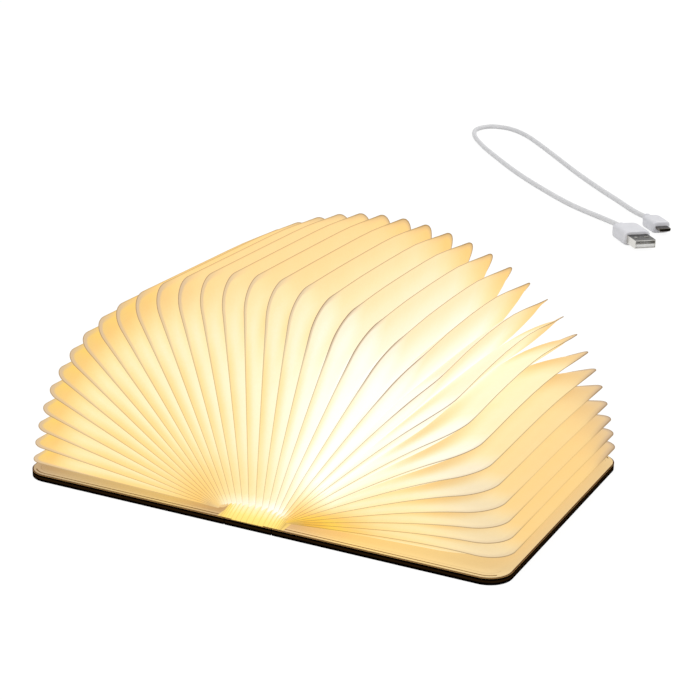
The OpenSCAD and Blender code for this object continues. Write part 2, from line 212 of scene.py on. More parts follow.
# Distances from the outer rim and from the end rims at which a pocket's grid has points, in mm.
R_STEPS = (0, 0.3, 0.6, 1.0, 1.6, 2.4, 3.4, 4.6, 6, 8, 10.5, 13.5, 17, 21, 26, 32, 39, 47, 55, 63, 70, 75, 79)
Y_STEPS = (0, 0.3, 0.6, 1.0, 1.6, 2.4, 3.4, 4.6, 6, 7.6, 9.4, 11.5, 15, 20, 27, 36, 46)


def rounded(gr, gy, r):
    """Moves a grid of distances from two rims so that its corner is rounded with radius r."""
    p = np.clip(1 - gr / r, 0, 1)
    q = np.clip(1 - gy / r, 0, 1)
    pr, qr = p * np.sqrt(1 - q * q / 2), q * np.sqrt(1 - p * p / 2)
    zone = (p > 0) & (q > 0)
    return (np.where(zone, r * (1 - pr), gr), np.where(zone, r * (1 - qr), gy),
            np.where(zone, r * (1 - np.hypot(pr, qr)), np.minimum(gr, gy)))


def plan(leaf):
    """The pocket's outline as a grid with two rounded corners, and how far each point is pillowed out."""
    depth = leaf.outer - leaf.inner
    dr = np.array([d for d in R_STEPS if d < depth - 1] + [depth])
    dy = np.array(list(Y_STEPS) + [leaf.half])
    gr, gy = np.meshgrid(dr, dy, indexing="ij")
    near_r = leaf.corner * np.interp(leaf.degrees, *NEAR_CORNER)
    far_r = leaf.corner * np.interp(leaf.degrees, *FAR_CORNER)
    far_half = leaf.half + FAR_REACH * smooth(leaf.degrees, 95, 115)
    parts = []
    for sign, r, half in ((-1, near_r, leaf.half), (1, far_r, far_half)):
        dist_r, dist_y, rim = rounded(gr, gy * half / leaf.half, r)
        parts.append((dist_r, dist_y, rim, sign * (half - dist_y)))
    join = [np.concatenate([a, b[:, -2::-1]], axis=1) for a, b in zip(*parts)]
    dist_r, dist_y, rim, y = join
    reach = leaf.outer - dist_r
    s = (reach - leaf.inner) / depth
    end_depth = END_DEPTH_IN + (END_DEPTH_OUT - END_DEPTH_IN) * s
    a = np.clip((dist_y - LIP) / end_depth, 0, 1)
    b = np.clip((dist_r - LIP) / OUTER_DEPTH, 0, 1)
    c = np.clip((rim - LIP) / 2.5, 0, 1)
    corner = np.hypot(dist_r, dist_y)
    pillow = (1 - (1 - a) ** 2.2) * (1 - (1 - b) ** 1.7) * c ** 0.5 * smooth(corner, 3.5, 12)
    return s, reach, y, rim, pillow, corner


def looks(leaf, step, reach, y, rim, pillow, corner):
    """Brightness of the lit paper, 0 amber to 1 near white, and how far painted beige shade (on the glued
    rim, at the tips, corners and folds), painted dark shade lines along the outlines and a rosy tint of the
    light show. reach, y, rim and corner are in mm, deg is the pocket's angle from the left cover; step is -1
    for the sheet toward the left cover and 1 for the other."""
    deg = leaf.degrees
    across = 0.5 * pillow if step > 0 else 1 - 0.5 * pillow
    near_end = 1 - smooth(y, -54, -36)
    outer = smooth(reach, 58, 86)
    right = smooth(deg, 132, 146)
    low_right = smooth(deg, 148, 162)
    # Brightness: by angle, then darker near the spine, at the corners and at the far rims.
    level = 0.74 + 0.07 * smooth(deg, 0, 90) + 0.16 * smooth(deg, 90, 120) - 0.25 * smooth(deg, 138, 176)
    spine_dim = 0.2 - 0.1 * smooth(deg, 40, 90) + 0.4 * smooth(deg, 112, 140) - 0.06 * smooth(deg, 150, 175)
    spine_reach = 34 - 8 * smooth(deg, 100, 130) + 22 * smooth(deg, 155, 172)
    corner_dim = 0.28 * (1 - smooth(deg, 50, 110))
    rim_dim = 0.15 + 0.22 * (1 - smooth(deg, 20, 75)) + 0.06 * low_right
    level = level - spine_dim * (1 - smooth(reach, 6, spine_reach))
    level = level - corner_dim * smooth(reach, 66, 86) * near_end - rim_dim * outer * (1 - near_end)
    tip = smooth(reach, 46, 82) * smooth(y, 22, 57)
    level = level + (0.46 - level) * 0.85 * tip * smooth(deg, 70, 110)
    # Painted shade in the folds where a sheet meets its neighbour, and painted beige shade under the rims.
    beige = 0.0
    if step > 0:
        level = level - 0.09 * (1 - smooth(across, 0.0, 0.35)) * smooth(reach, 20, 40)
        crease = smooth(across, 0.2, 0.45)
        level = level - 0.22 * crease * smooth(reach, 50, 76) * (1 - smooth(deg, 90, 125))
    else:
        crease = 1 - smooth(across, 0.5, 0.85)
        under = crease * smooth(reach, 42, 70) * right
        near_part = 1 - smooth(y, -50, 0)
        level = level - 0.24 * under * near_part * (1 - 0.5 * low_right) - 0.12 * under
        level = level - 0.17 * crease * low_right * smooth(reach, 14, 40)
        beige = 0.3 * under * near_part + (0.2 + 0.3 * crease) * low_right * (1 - near_end) * outer
    # Painted shade close to the rims, and a painted highlight at the pockets' feet.
    rim_shade = 0.13 * (1 - smooth(rim, 0.3, 4)) * smooth(reach, 6, 16)
    level = level - rim_shade * (1 - smooth(reach, 52, 78)) * near_end
    foot_glow = 0.2 * (1 - smooth(reach, 4.4, 6)) * near_end * smooth(deg, 30, 60)
    level = level + foot_glow * (1 - smooth(deg, 125, 150))
    # Painted beige shade on the glued rim, which is unlit, at the far tips, in the near corners, on the outer
    # part of the right-hand pockets and where the pockets crowd at the spine.
    band = 0.2 + 1.1 * smooth(reach, 55, 85)
    flange_shade_depth = 0.62 if step > 0 and deg < 142 else 0.2
    flange_shade = (1 - smooth(rim, band, band + 0.7)) * near_end * smooth(reach, 35, 75) * flange_shade_depth
    tips = (1 - smooth(rim, 0.4, 3)) * smooth(y, 30, 52) * 0.35 + 0.34 * tip * right
    dark = (1 - smooth(corner, 3.5, 14)) * (0.3 if deg < 75 else 0.1)
    beige = beige + 0.34 * smooth(reach, 55, 80) * near_end * low_right
    crowd = (1 - smooth(deg, 4, 30)) + smooth(deg, 158, 176)
    crowd_shade = 0.4 * crowd * (1 - smooth(reach, 7, 12))
    painted_shade = np.clip((flange_shade + tips + dark + beige) * smooth(reach, 3, 12) + crowd_shade, 0, 1)
    # Painted dark shade lines along the cut edges: the rims, the far tips and the near bends.
    line = (1 - smooth(rim, 0.03, 0.42)) * (0.36 + 0.2 * outer + 0.1 * smooth(deg, 120, 150))
    line = line * (1 - 0.65 * smooth(deg, 152, 165) * smooth(y, -54, -20))
    edge = (1 - smooth(rim, 0.1, 0.9)) * 0.4 + (1 - smooth(rim, 0.8, 2.2)) * 0.16
    edge = edge * smooth(y, 30, 52) * smooth(deg, 40, 100)
    bend = (1 - smooth(rim, 0.2, 1.5)) * (1 - smooth(corner, 9, 24)) * near_end * (0.36 if step > 0 else 0.1)
    bend = bend * smooth(deg, 96, 112) * (1 - smooth(deg, 150, 158))
    shade_line = np.clip(line + edge + bend, 0, 0.8) * smooth(reach, 3, 10)
    # A rosy tint of the painted light on the outer part of the middle pockets.
    rosy = 0.2 * outer * (1 - 0.5 * near_end) * smooth(deg, 50, 75) * (1 - 0.5 * tip) * (1 - right)
    return np.clip(level, 0, 1), painted_shade, shade_line, rosy


def build(name, verts, faces, smooth_faces=True, attributes=None, material=None):
    mesh = bpy.data.meshes.new(name)
    mesh.from_pydata([tuple(v) for v in verts], [], [tuple(f) for f in faces])
    mesh.validate()
    mesh.update()
    if smooth_faces:
        mesh.polygons.foreach_set("use_smooth", [True] * len(mesh.polygons))
    for key, values in (attributes or {}).items():
        a = mesh.attributes.new(key, "FLOAT", "POINT")
        a.data.foreach_set("value", np.asarray(values, np.float32).ravel())
    obj = bpy.data.objects.new(name, mesh)
    bpy.context.scene.collection.objects.link(obj)
    if material:
        mesh.materials.append(material)
    return obj


def shell_faces(rows, columns):
    """Faces of a closed shell between two grids of points, the lower one first."""
    faces = []
    n = rows * columns
    for i in range(rows - 1):
        for j in range(columns - 1):
            a, d = i * columns + j, (i + 1) * columns + j
            b, c = a + 1, d + 1
            faces.append((a, b, c, d))
            faces.append((n + d, n + c, n + b, n + a))
    ring = [(0, j) for j in range(columns)] + [(i, columns - 1) for i in range(1, rows)]
    ring += [(rows - 1, j) for j in range(columns - 2, -1, -1)] + [(i, 0) for i in range(rows - 2, 0, -1)]
    index = [i * columns + j for i, j in ring]
    for a, b in zip(index, index[1:] + index[:1]):
        faces.append((b, a, n + a, n + b))
    return faces


LOOKS = ("glow", "painted_shade", "shade_line", "rosy")


def pocket(leaf, material):
    """A pillowed pocket. The last one that follows the left cover is made in two pieces, because its outer
    sheet spans the gap that the right cover closes."""
    s, reach, y, rim, pillow, corner = plan(leaf)
    own = lines[leaf.k - 1](s, y)
    grids, painted = {}, {}
    meets = {}
    for step in (-1, 1):
        far = neighbour(leaf.k, step)(s, y)
        inside = 1 <= leaf.k + step <= PAGES
        meets[step] = inside and leaves[leaf.k + step - 1].side != leaf.side
        middle = (own + far) / 2 if inside else far
        toward = middle - own
        gap = np.linalg.norm(toward, axis=-1)
        unit = toward / np.maximum(gap, 1e-6)[..., None]
        thick = np.minimum(SHEET_HALF_T, 0.4 * gap)
        fill = MEETING_FILL if meets[step] else FILL
        offset = thick + np.maximum(fill * gap - thick, 0) * pillow
        points = own + unit * offset[..., None]
        grids[step] = (np.stack([points[..., 0], y, points[..., 1]], -1) * MM).reshape(-1, 3)
        painted[step] = [v.ravel() for v in looks(leaf, step, reach, y, rim, pillow, corner)]
    middle = (np.stack([own[..., 0], y, own[..., 1]], -1) * MM).reshape(-1, 3)
    name = f"pocket_{leaf.k:02d}"
    if meets[1]:
        parts = [(name + "_left", middle, grids[-1], painted[-1], painted[-1], False, True),
                 (name + "_right", middle, grids[1], painted[1], painted[1], True, False)]
    else:
        parts = [(name, grids[-1], grids[1], painted[-1], painted[1], False, False)]
    for title, low, high, low_paint, high_paint, other_cover, flip in parts:
        faces = shell_faces(*s.shape)
        if flip:
            faces = [f[::-1] for f in faces]
        attributes = {key: np.concatenate(v) for key, v in zip(LOOKS, zip(low_paint, high_paint))}
        obj = build(title, np.concatenate([low, high]), faces, material=material, attributes=attributes)
        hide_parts(page_name(leaf.k))
        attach(obj, leaf.body)
        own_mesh(obj)


def srgb(r, g, b):
    def lin(v):
        v = v / 255
        return v / 12.92 if v <= 0.04045 else ((v + 0.055) / 1.055) ** 2.4
    return (lin(r), lin(g), lin(b), 1.0)


class Nodes:
    """Short calls for building one material's node tree."""

    def __init__(self, name):
        self.material = bpy.data.materials.new(name)
        self.material.use_nodes = True
        self.tree = self.material.node_tree
        self.shader = self.tree.nodes["Principled BSDF"]
        self.coords = self.tree.nodes.new("ShaderNodeTexCoord")

    def link(self, a, b):
        self.tree.links.new(a, b)

    def set(self, **values):
        for key, value in values.items():
            self.shader.inputs[key.replace("_", " ")].default_value = value

    def noise(self, scale, detail=3.0, rough=0.55, stretch=None, source=None):
        n = self.tree.nodes.new("ShaderNodeTexNoise")
        n.inputs["Scale"].default_value = scale
        n.inputs["Detail"].default_value = detail
        n.inputs["Roughness"].default_value = rough
        vector = source or self.coords.outputs["Object"]
        if stretch:
            m = self.tree.nodes.new("ShaderNodeMapping")
            m.inputs["Scale"].default_value = stretch
            self.link(vector, m.inputs["Vector"])
            vector = m.outputs["Vector"]
        self.link(vector, n.inputs["Vector"])
        return n.outputs["Fac"]

    def math(self, kind, a, b=None, clamp=False):
        m = self.tree.nodes.new("ShaderNodeMath")
        m.operation = kind
        m.use_clamp = clamp
        for socket, value in zip(m.inputs, (a, b)):
            if value is None:
                continue
            if isinstance(value, (int, float)):
                socket.default_value = value
            else:
                self.link(value, socket)
        return m.outputs[0]

    def ramp(self, fac, stops):
        r = self.tree.nodes.new("ShaderNodeValToRGB")
        e = r.color_ramp.elements
        while len(e) < len(stops):
            e.new(0.5)
        for element, (at, colour) in zip(e, stops):
            element.position = at
            element.color = colour
        self.link(fac, r.inputs["Fac"])
        return r.outputs["Color"]

    def mix(self, fac, a, b, kind="MIX"):
        m = self.tree.nodes.new("ShaderNodeMix")
        m.data_type = "RGBA"
        m.blend_type = kind
        for socket, value in ((m.inputs[0], fac), (m.inputs[6], a), (m.inputs[7], b)):
            if isinstance(value, (int, float, tuple)):
                socket.default_value = value
            else:
                self.link(value, socket)
        return m.outputs[2]

    def attribute(self, name):
        a = self.tree.nodes.new("ShaderNodeAttribute")
        a.attribute_name = name
        return a.outputs["Fac"]

    def separate(self, vector):
        s = self.tree.nodes.new("ShaderNodeSeparateXYZ")
        self.link(vector, s.inputs[0])
        return s.outputs

    def bump(self, height, strength, distance):
        b = self.tree.nodes.new("ShaderNodeBump")
        b.inputs["Strength"].default_value = strength
        b.inputs["Distance"].default_value = distance
        self.link(height, b.inputs["Height"])
        self.link(b.outputs["Normal"], self.shader.inputs["Normal"])

    def colour(self, output):
        self.link(output, self.shader.inputs["Base Color"])


GLOW_STOPS = (
    (0.20, srgb(240, 188, 80)), (0.32, srgb(248, 208, 92)), (0.46, srgb(249, 206, 122)),
    (0.60, srgb(250, 220, 155)), (0.70, srgb(251, 231, 179)), (0.80, srgb(252, 240, 204)),
    (0.90, srgb(252, 247, 228)), (1.0, srgb(255, 254, 247)))
LINING_STOPS = ((0.0, srgb(205, 160, 84)), (0.3, srgb(248, 206, 84)), (0.6, srgb(255, 228, 132)),
                (1.0, srgb(255, 252, 232)))
# Colours of the painted beige shade, the painted dark shade lines and the rosy tint of the light.
PAINTED_SHADE_COLOUR = srgb(208, 184, 154)
SHADE_LINE_COLOUR = srgb(128, 94, 50)
ROSY_LIGHT_COLOUR = srgb(250, 198, 165)
PAPER_BASE = 0.25
PAPER_GLOW = 0.86
# How far the paper's cloudiness and its fibres move its brightness.
CLOUD, FIBRE = 0.05, 0.06


def glowing_paper(name, stops=GLOW_STOPS):
    """Paper lit from behind, coloured by the painted light and shade that looks() gives as attributes."""
    n = Nodes(name)
    cloud = n.math("MULTIPLY_ADD", n.noise(70, 2), CLOUD)
    cloud.node.inputs[2].default_value = -CLOUD / 2
    fibre = n.math("MULTIPLY_ADD", n.noise(900, 4, 0.7), FIBRE)
    fibre.node.inputs[2].default_value = -FIBRE / 2
    level = n.math("ADD", n.attribute("glow"), n.math("ADD", cloud, fibre), clamp=True)
    lit = n.mix(n.attribute("rosy"), n.ramp(level, stops), ROSY_LIGHT_COLOUR)
    # Painted shade over the lit colour: beige shade and dark shade lines.
    colour = n.mix(n.attribute("shade_line"), n.mix(n.attribute("painted_shade"), lit, PAINTED_SHADE_COLOUR), SHADE_LINE_COLOUR)
    n.colour(n.mix(1.0, colour, (PAPER_BASE, PAPER_BASE, PAPER_BASE, 1), "MULTIPLY"))
    n.link(colour, n.shader.inputs["Emission Color"])
    n.set(Emission_Strength=PAPER_GLOW, Roughness=0.8, Specular_IOR_Level=0.25)
    n.bump(n.noise(1400, 3, 0.6), 0.15, 0.0002)
    n.material.cycles.emission_sampling = "NONE"
    return n.material


# The board's burnt edge against height, from 0 at its underside to 1 at its top, where a pale veneer starts.
CHAR_STOPS = ((0.0, srgb(2, 1, 1)), (0.32, srgb(4, 2, 2)), (0.46, srgb(40, 26, 11)), (0.62, srgb(36, 22, 9)),
              (0.74, srgb(3, 2, 2)), (1.0, srgb(3, 2, 2)))
TOP_VENEER_FROM = 0.93


def wood(name):
    """Walnut veneer with the grain along the spine, cut by a laser that charred its edges."""
    n = Nodes(name)
    grain = n.noise(260, 6, 0.62, (1.0, 0.06, 0.5))
    pores = n.noise(1600, 3, 0.6, (1.0, 0.05, 1.0))
    face = n.ramp(n.math("ADD", n.math("MULTIPLY", grain, 0.75), n.math("MULTIPLY", pores, 0.25)),
                  ((0.3, srgb(52, 32, 20)), (0.5, srgb(92, 60, 38)), (0.7, srgb(118, 80, 52))))
    z = n.separate(n.coords.outputs["Object"])[2]
    layers = n.math("MULTIPLY", z, 1 / board_high.z)
    rough = n.math("ADD", layers, n.math("MULTIPLY", n.noise(500, 2), 0.06))
    char = n.ramp(rough, CHAR_STOPS)
    char = n.mix(n.math("GREATER_THAN", layers, TOP_VENEER_FROM), char, srgb(176, 138, 84))
    up = n.math("ABSOLUTE", n.separate(n.coords.outputs["Normal"])[2])
    n.colour(n.mix(n.math("GREATER_THAN", up, 0.6), char, face))
    n.set(Roughness=0.7, Specular_IOR_Level=0.0)
    n.bump(n.math("ADD", grain, pores), 0.25, 0.0002)
    return n.material


def plain(name, colour, roughness, metallic=0.0, scale=900, bump=0.15, vary=0.06, specular=0.4):
    """A moulded or metal surface with faint mottling and fine texture."""
    n = Nodes(name)
    base = srgb(*colour)
    darker = tuple(v * (1 - 2 * vary) for v in base[:3]) + (1,)
    n.colour(n.ramp(n.noise(scale * 0.15, 3), ((0.35, darker), (0.65, base))))
    n.set(Roughness=roughness, Metallic=metallic, Specular_IOR_Level=specular)
    n.bump(n.noise(scale, 3), bump, 0.0001)
    return n.material


BOARD_CORNER = board_high.y - max(abs(v.co.y) for v in nodes["right_board"].data.vertices
                                  if v.co.x > board_high.x - AT_EDGE_MM * MM)
# Painted shadow lines at the edges of the sheets glued to a cover: inset from its edge, half width and depth
# of the line. They stop short of the outer edge.
SHEET_EDGE_SHADOWS = ((1.5 * MM, 0.26 * MM, 1.0), (3.3 * MM, 0.14 * MM, 0.25))
EDGE_SHADOWS_END = 3.6 * MM
LINER_BASE = 0.5


def cream_paper(name, start, end, strength, far_end):
    """Cream paper lit from the spine side by the fan over it, with painted shadow lines along the edge of the
    glued end sheet. start and end are shares of the cover's width, and far_end is the colour from end on."""
    n = Nodes(name)
    x, y = n.separate(n.coords.outputs["Object"])[:2]
    reach = n.math("ABSOLUTE", x)
    lit = n.ramp(n.math("MULTIPLY", reach, 1 / board_high.x), (
        (0.0, srgb(252, 216, 120)), (0.13, srgb(228, 196, 150)),
        (start, srgb(250, 218, 146)), (end, srgb(*far_end))))
    over_x = n.math("MAXIMUM", n.math("SUBTRACT", reach, board_high.x - BOARD_CORNER), 0.0)
    over_y = n.math("MAXIMUM", n.math("SUBTRACT", n.math("ABSOLUTE", y), board_high.y - BOARD_CORNER), 0.0)
    out = n.math("SQRT", n.math("ADD", n.math("MULTIPLY", over_x, over_x),
                                n.math("MULTIPLY", over_y, over_y)))
    gap = n.math("SUBTRACT", BOARD_CORNER, out)
    along_edge = n.math("LESS_THAN", reach, board_high.x - EDGE_SHADOWS_END)
    # Painted shadow lines along the glued sheets' edges.
    shade = None
    for inset, half, depth in SHEET_EDGE_SHADOWS:
        near = n.math("LESS_THAN", n.math("ABSOLUTE", n.math("SUBTRACT", gap, inset)), half)
        near = n.math("MULTIPLY", near, n.math("MULTIPLY", along_edge, depth))
        shade = near if shade is None else n.math("MAXIMUM", shade, near)
    lit = n.mix(shade, lit, SHADE_LINE_COLOUR)
    n.colour(n.mix(1.0, lit, (LINER_BASE, LINER_BASE, LINER_BASE, 1), "MULTIPLY"))
    n.link(lit, n.shader.inputs["Emission Color"])
    n.set(Emission_Strength=strength, Roughness=0.85, Specular_IOR_Level=0.2)
    n.material.cycles.emission_sampling = "NONE"
    n.bump(n.noise(1600, 3), 0.2, 0.0002)
    return n.material


def metal(name, colour, top):
    """Plated sheet metal with a painted dark reflection on its upper faces, which are darker than its sides.
    """
    n = Nodes(name)
    up = n.separate(n.coords.outputs["Normal"])[2]
    shade = n.mix(n.math("GREATER_THAN", up, 0.6), srgb(*colour), srgb(*top))
    n.colour(n.mix(n.math("MULTIPLY", n.noise(700, 3), 0.2), shade, srgb(*top)))
    n.set(Roughness=0.25, Metallic=1.0)
    n.bump(n.noise(2500, 2), 0.05, 0.00005)
    return n.material


def lamp_light(name, colour, strength):
    """A milky or clear part lit from inside."""
    n = Nodes(name)
    lit = n.ramp(n.noise(300, 3), ((0.3, srgb(*(0.94 * v for v in colour))), (0.7, srgb(*colour))))
    n.colour(lit)
    n.link(lit, n.shader.inputs["Emission Color"])
    n.set(Emission_Strength=strength, Roughness=0.35)
    n.material.cycles.emission_sampling = "NONE"
    return n.material


def glass(name):
    """Clear glass with a faint green tint."""
    n = Nodes(name)
    n.colour(n.ramp(n.noise(400, 2), ((0.3, srgb(205, 225, 222)), (0.7, srgb(225, 240, 238)))))
    n.set(Roughness=0.08, Transmission_Weight=0.8, IOR=1.5)
    return n.material


glow_paper = glowing_paper("glowing_paper")
for leaf in leaves:
    pocket(leaf, glow_paper)

# The pleated lining: a ramp from the near end of the spine up to the arch under the pockets, in mm.
LINING_FIRST_PAGE, LINING_LAST_PAGE = 8, 26
LINING_MARGIN = 1.1
LINING_CREST_Y = -49.0
LINING_END_GAP = 0.1
LINING_SKIRT = 0.1
LINING_T = 0.15
LINING_DROP = 0.3
PLEAT = 0.25
PLEAT_LINE = 0.16
LINING_STILL_X = 7.0
LINING_CLEAR = 0.05
LINING_HEM = 0.5
LINING_RAMP_ROWS, LINING_FLAT_ROWS = 9, 8


def lining(material):
    """Three strips of one pleated sheet, all attached to the spine."""
    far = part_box("page_lining")[1].y / MM
    near = spine_low.y / MM + LINING_END_GAP
    feet = [foot_x(k) for k in range(LINING_FIRST_PAGE, LINING_LAST_PAGE + 1)]
    left_end, right_end = feet[0] - LINING_MARGIN, feet[-1] + LINING_MARGIN
    xs, folds = [left_end, left_end + LINING_HEM], [0.0, 0.0]
    for a, b in zip(feet, feet[1:]):
        xs += [a - PLEAT_LINE, a, a + PLEAT_LINE, (a + b) / 2]
        folds += [0.0, 1.0, 0.0, -1.0]
    xs += [feet[-1] - PLEAT_LINE, feet[-1], right_end - LINING_HEM, right_end]
    folds += [0.0, 1.0, 0.0, 0.0]
    xs, folds = np.array(xs), np.array(folds)
    ys = np.concatenate([[near], np.linspace(near + LINING_SKIRT + 0.2, LINING_CREST_Y, LINING_RAMP_ROWS),
                         np.linspace(LINING_CREST_Y, far, LINING_FLAT_ROWS)[1:]])
    still = [min(feet, key=lambda x: abs(x + LINING_STILL_X)),
             min(feet, key=lambda x: abs(x - LINING_STILL_X))]
    strips = (("lining_left", left_end, still[0], "left_hinge", 0),
              ("lining_middle", still[0], still[1], None, 0),
              ("lining_right", still[1], right_end, "right_hinge", 1))
    for name, start, end, joint, side in strips:
        pick = (xs >= start - 1e-6) & (xs <= end + 1e-6)
        x, y = np.meshgrid(xs[pick], ys, indexing="ij")
        fold = np.broadcast_to(folds[pick][:, None], x.shape)
        climb = np.sin(np.clip((y - near) / (LINING_CREST_Y - near), 0, 1) * math.pi / 2)
        closing = smooth(x, left_end, left_end + 1.6) * (1 - smooth(x, right_end - 1.6, right_end))
        rest = BASE_Z + LINING_T + LINING_CLEAR
        z = rest + climb * closing * (arch(x) - LINING_DROP - rest) - PLEAT * np.clip(fold, -0.6, 1) * climb
        z = np.maximum(z, rest)
        skirt = (y < near + LINING_SKIRT + 1e-6) & (np.abs(x) < LINING_STILL_X + 1)
        z = np.where(skirt & (joint is None), spine_high.z / MM + LINING_T + 0.02, z)
        top = np.stack([x, y, z], -1) * MM
        bottom = np.stack([x, y, z - LINING_T], -1) * MM
        edge = np.minimum(smooth(x, left_end, left_end + 5), 1 - smooth(x, right_end - 5, right_end))
        # Painted light and shade: brighter up the ramp and on the pleats' ridges, darker at the strip's ends,
        # beige shade at its edges and dark shade lines in the pleats' creases.
        glow = 0.52 + 0.4 * climb ** 1.5 * edge - 0.12 * (1 - edge) + 0.14 * np.clip(-fold, 0, 1) * climb
        painted_shade = 0.3 * (1 - smooth(x, left_end, left_end + 3)) + 0.3 * smooth(x, right_end - 3, right_end)
        shade_line = np.clip(fold, 0, 1) * 0.42
        paint = [np.tile(v.ravel(), 2) for v in (glow, painted_shade, shade_line, 0 * x)]
        points = np.concatenate([bottom.reshape(-1, 3), top.reshape(-1, 3)])
        obj = build(name, points, shell_faces(*x.shape), False, dict(zip(LOOKS, paint)), material)
        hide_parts("page_lining")
        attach(obj, "spine")
        if joint:
            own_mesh(obj)


lining(glowing_paper("lining_paper", LINING_STOPS))

# The charging lead: both plugs point the same way, and the lead lies on the table between them.
PLUG_HEADING = math.radians(-50)
HEADING = Vector((math.cos(PLUG_HEADING), math.sin(PLUG_HEADING), 0))
ACROSS = Vector((-HEADING.y, HEADING.x, 0))
LEAD_DIAMETER = 3.0 * MM
LEAD_Z = 1.55 * MM
COLLAR_LENGTH = 6.0 * MM
COLLAR_WIDTH = 5.0 * MM
DROP_START, DROP_END = 10 * MM, 22 * MM
LEAD_STEPS = 8
GRIP_SIDES = 40
LEAD_XY = ((-0.034, 0.446), (-0.054, 0.469), (-0.077, 0.497), (-0.101, 0.528), (-0.125, 0.559),
           (-0.146, 0.584), (-0.163, 0.597), (-0.177, 0.597), (-0.182, 0.583), (-0.175, 0.563),
           (-0.158, 0.537), (-0.136, 0.509), (-0.111, 0.479), (-0.084, 0.450), (-0.054, 0.421))


class Plug:
    """Where a plug's grip lies, read from its CAD part along the plug's own directions."""

    def __init__(self, node):
        co = [v.co for v in nodes[node].data.vertices]
        along = [p.dot(HEADING) for p in co]
        across = [p.dot(ACROSS) for p in co]
        self.back, self.front = min(along), max(along)
        self.side = (min(across) + max(across)) / 2
        self.width = max(across) - min(across)
        self.height = max(p.z for p in co) - min(p.z for p in co)
        self.z = min(p.z for p in co) + self.height / 2
        self.exit = self.point(self.back)

    def point(self, along, across=0.0, z=0.0):
        return HEADING * along + ACROSS * (self.side + across) + Vector((0, 0, self.z + z))


def grip(name, node, material):
    """A moulded grip with soft edges and a ribbed collar behind it. Each section has its place along the
    plug, its width, its height and the power of its rounded outline."""
    plug = Plug(node)
    start = plug.back + COLLAR_LENGTH
    w, t = plug.width, plug.height
    sections = [(plug.back, 0.70, 0.70, 2.0), (plug.back + 0.1 * MM, 0.76, 0.76, 2.0)]
    rib = COLLAR_LENGTH / 4
    for i in range(3):
        at = plug.back + (0.3 + i) * rib
        sections += [(at, 0.8, 0.8, 2.0), (at + 0.2 * rib, 1.0, 1.0, 2.2), (at + 0.65 * rib, 1.0, 1.0, 2.2),
                     (at + 0.85 * rib, 0.8, 0.8, 2.0)]
    sections = [(at, a * COLLAR_WIDTH, b * COLLAR_WIDTH, e) for at, a, b, e in sections]
    sections += [(start - 0.2 * MM, 0.36 * w, 0.5 * t, 2.4), (start, 0.78 * w, 0.84 * t, 4),
                 (start + 0.3 * MM, 0.88 * w, 0.93 * t, 4.6), (start + 1 * MM, 0.95 * w, 0.98 * t, 5),
                 (start + 2.5 * MM, w, t, 5), (plug.front - 1.4 * MM, w, t, 5),
                 (plug.front - 0.5 * MM, 0.985 * w, 0.97 * t, 5),
                 (plug.front - 0.1 * MM, 0.95 * w, 0.92 * t, 5), (plug.front, 0.9 * w, 0.84 * t, 5)]
    sides = GRIP_SIDES
    verts, faces = [], []
    for at, width, height, power in sections:
        for j in range(sides):
            a = 2 * math.pi * (j + 0.5) / sides
            c, d = math.cos(a), math.sin(a)
            verts.append(plug.point(at, math.copysign(abs(c) ** (2 / power), c) * width / 2,
                                    math.copysign(abs(d) ** (2 / power), d) * height / 2))
    for i in range(len(sections) - 1):
        for j in range(sides):
            k = (j + 1) % sides
            faces.append((i * sides + j, (i + 1) * sides + j, (i + 1) * sides + k, i * sides + k))
    last = (len(sections) - 1) * sides
    faces.append(tuple(range(sides)))
    faces.append(tuple(last + j for j in range(sides - 1, -1, -1)))
    obj = build(name, verts, faces, material=material)
    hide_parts(node)
    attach(obj, "spine")
    return plug, obj


def lead(plug_m, plug_a, material):
    """The lead from the micro plug round to the USB-A plug, as one smooth line."""
    def drop(plug):
        down = plug.point(plug.back - DROP_START, z=-0.7 * MM)
        flat = plug.point(plug.back - DROP_END)
        flat.z = LEAD_Z + 0.5 * MM
        return [plug.exit, down, flat]

    knots = drop(plug_m) + [Vector((x, y, LEAD_Z)) for x, y in LEAD_XY] + drop(plug_a)[::-1]
    knots = [knots[0] + HEADING * 10 * MM] + knots + [knots[-1] + HEADING * 10 * MM]
    line = []
    for a, b, c, d in zip(knots, knots[1:], knots[2:], knots[3:]):
        for i in range(LEAD_STEPS):
            t = i / LEAD_STEPS
            line.append((b * 2 + (c - a) * t + (a * 2 - b * 5 + c * 4 - d) * t ** 2
                         + (b * 3 - c * 3 + d - a) * t ** 3) / 2)
    line.append(knots[-2])
    for p in line:
        p.z = max(p.z, LEAD_DIAMETER / 2 + 0.02 * MM)
    curve = bpy.data.curves.new("lead", "CURVE")
    curve.dimensions = "3D"
    curve.bevel_depth = LEAD_DIAMETER / 2
    curve.bevel_resolution = 4
    curve.use_fill_caps = True
    spline = curve.splines.new("POLY")
    spline.points.add(len(line) - 1)
    for point, p in zip(spline.points, line):
        point.co = (p.x, p.y, p.z, 1)
    curve.materials.append(material)
    obj = bpy.data.objects.new("lead", curve)
    bpy.context.scene.collection.objects.link(obj)
    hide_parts("charge_cord")
    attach(obj, "spine")


grip_white = plain("grip_white", (218, 218, 223), 0.38, scale=1200, bump=0.08, vary=0.03)
plug_m, grip_m = grip("micro_grip", "micro_usb_grip", grip_white)
plug_a, grip_a = grip("plug_grip", "usb_a_grip", grip_white)
lead(plug_m, plug_a,
     plain("lead_grey", (220, 220, 222), 0.5, scale=1500, bump=0.2, vary=0.03))

